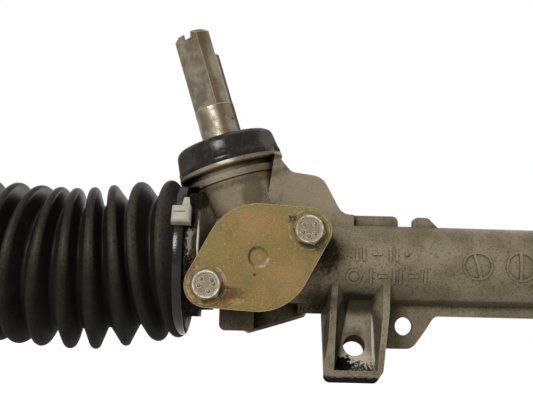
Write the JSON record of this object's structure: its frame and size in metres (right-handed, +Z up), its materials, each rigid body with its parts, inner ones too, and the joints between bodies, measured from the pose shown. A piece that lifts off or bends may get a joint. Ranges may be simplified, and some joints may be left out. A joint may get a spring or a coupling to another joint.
{
  "type": "steering rack",
  "caption": "Manual rack-and-pinion steering rack: cast housing with leaning pinion tower, toothed rack bar, rubber bellows and ball-jointed tie rods.",
  "frame": {"origin": "centre of the drive-side mounting bore, where it meets the floor of the lug's channel", "axes": "+X along the rack, from the drive side's bellows towards the far end; +Y from the yoke cover towards the pinion; +Z up"},
  "size_m": [1.237, 0.0875, 0.1814],
  "materials": {
    "cast_aluminium": "sand-textured die casting with road grime",
    "zinc_yellow": "yellow passivated zinc, stained",
    "bolt_steel": "bright zinc with light rust",
    "ground_steel": "ground and lightly stained",
    "dark_steel": "phosphated",
    "bearing_steel": "polished",
    "boot_rubber": "dull black rubber",
    "seal_rubber": "black rubber",
    "cap_plastic": "moulded black plastic, dusty",
    "strap_plastic": "glossy black nylon",
    "natural_nylon": "aged off-white nylon",
    "yoke_metal": "machined",
    "gasket_paper": "grey fibre gasket",
    "bush_bronze": "sintered bronze"
  },
  "bodies": {
    "housing_body": {"housing": "cast_aluminium", "rack_guide_bush": "natural_nylon", "yoke_cover_plate": "zinc_yellow", "yoke_cover_gasket": "gasket_paper", "yoke_cover_bolts": "bolt_steel", "support_yoke": "yoke_metal", "yoke_liner": "natural_nylon", "yoke_seal_ring": "seal_rubber", "yoke_disc_springs": "dark_steel", "pinion_bearing_outer_race": "bearing_steel", "pinion_bearing_circlip": "dark_steel", "pinion_lower_bush": "bush_bronze", "pinion_oil_seal": "seal_rubber", "pinion_dust_cap": "cap_plastic", "bellows_left": "boot_rubber", "bellows_right": "boot_rubber", "bellows_strap_left": "strap_plastic", "bellows_strap_right": "strap_plastic", "bellows_strap_lock_left": "natural_nylon", "bellows_strap_lock_right": "natural_nylon"},
    "pinion_body": {"pinion_shaft": "ground_steel", "pinion_bearing_inner_race": "bearing_steel", "pinion_bearing_balls": "bearing_steel"},
    "rack_body": {"rack_bar": "ground_steel", "rack_stop_left": "seal_rubber", "lock_washer_left": "dark_steel", "ball_joint_socket_left": "dark_steel", "rack_stop_right": "seal_rubber", "lock_washer_right": "dark_steel", "ball_joint_socket_right": "dark_steel"},
    "ball_seat_body_left": {"ball_joint_seat_left": "natural_nylon"},
    "tie_rod_body_left": {"tie_rod_left": "dark_steel", "tie_rod_locknut_left": "bolt_steel", "bellows_small_clip_left": "dark_steel"},
    "ball_seat_body_right": {"ball_joint_seat_right": "natural_nylon"},
    "tie_rod_body_right": {"tie_rod_right": "dark_steel", "tie_rod_locknut_right": "bolt_steel", "bellows_small_clip_right": "dark_steel"}
  },
  "joints": [
    {"name": "rack_slide", "type": "slide", "parent": "housing_body", "child": "rack_body", "axis": [1, 0, 0], "range_m": [-0.068, 0.068], "deforming": ["bellows_left", "bellows_right"]},
    {"name": "pinion_spin", "type": "hinge", "parent": "housing_body", "child": "pinion_body", "pos_m": [-0.0467, 0.03144, 0.03934], "axis": [-0.3007, 0, 0.9537], "range_deg": [-587, 587]},
    {"name": "tie_rod_sweep_left", "type": "hinge", "parent": "rack_body", "child": "ball_seat_body_left", "pos_m": [-0.1822, 0.01734, 0.03934], "axis": [0, 0, 1], "range_deg": [-10, 10]},
    {"name": "tie_rod_lift_left", "type": "hinge", "parent": "ball_seat_body_left", "child": "tie_rod_body_left", "pos_m": [-0.1822, 0.01734, 0.03934], "axis": [0, 1, 0], "range_deg": [-20, 20]},
    {"name": "tie_rod_sweep_right", "type": "hinge", "parent": "rack_body", "child": "ball_seat_body_right", "pos_m": [0.4748, 0.01734, 0.03934], "axis": [0, 0, 1], "range_deg": [-10, 10]},
    {"name": "tie_rod_lift_right", "type": "hinge", "parent": "ball_seat_body_right", "child": "tie_rod_body_right", "pos_m": [0.4748, 0.01734, 0.03934], "axis": [0, 1, 0], "range_deg": [-20, 20]}
  ],
  "couplings": [
    {"joint": "pinion_spin", "follows": "rack_slide", "rad_per_m": 150.38}
  ]
}
